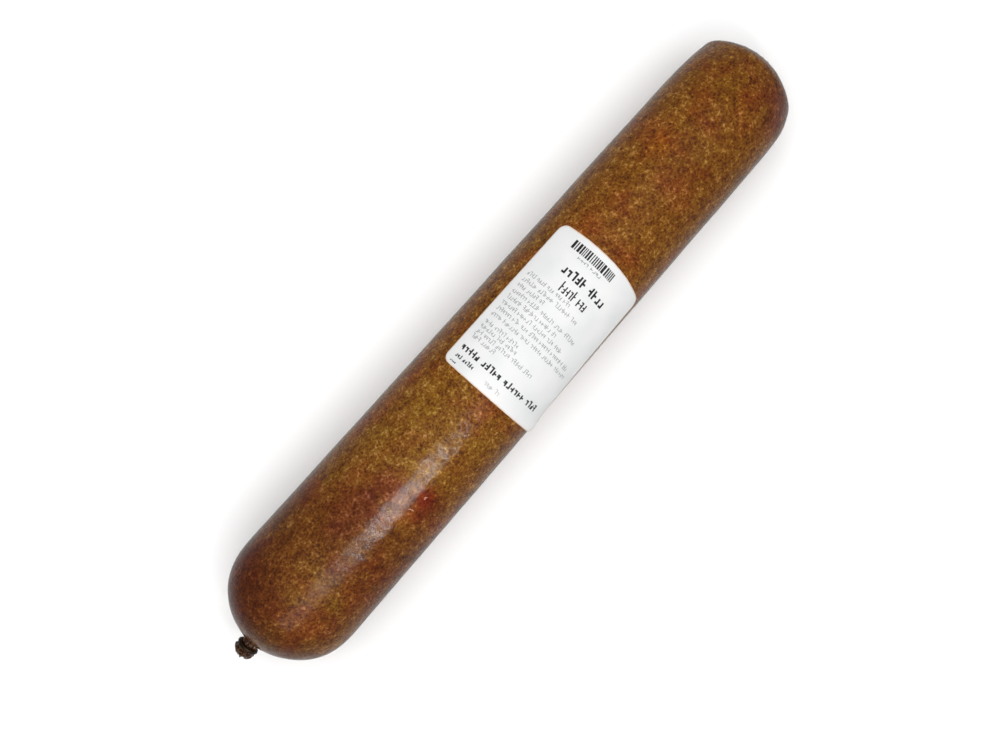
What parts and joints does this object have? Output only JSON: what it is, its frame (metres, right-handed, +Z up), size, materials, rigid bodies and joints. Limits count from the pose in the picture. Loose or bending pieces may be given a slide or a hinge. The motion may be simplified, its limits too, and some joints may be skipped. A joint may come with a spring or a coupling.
{
  "type": "salami",
  "caption": "Thick roll of minced meat in a clear film casing, domed and clipped at both ends, lying on its side with a plain white label wrapped part way round.",
  "frame": {"origin": "the middle of the outer box's underside, on the surface the roll lies on", "axes": "+X along the roll towards its slimmer end, +Z up out of the surface it lies on, and +Y across the roll, away from the side that the label wraps down"},
  "size_m": [0.3638, 0.0634, 0.0617],
  "materials": {
    "minced_meat": "matte",
    "clear_film": "gloss",
    "clip_wire": "satin",
    "label_paper": "satin"
  },
  "bodies": {
    "root": {"filling": "minced_meat", "casing": "clear_film", "wide_end_clip": "clip_wire", "narrow_end_clip": "clip_wire", "label": "label_paper"}
  },
  "joints": []
}
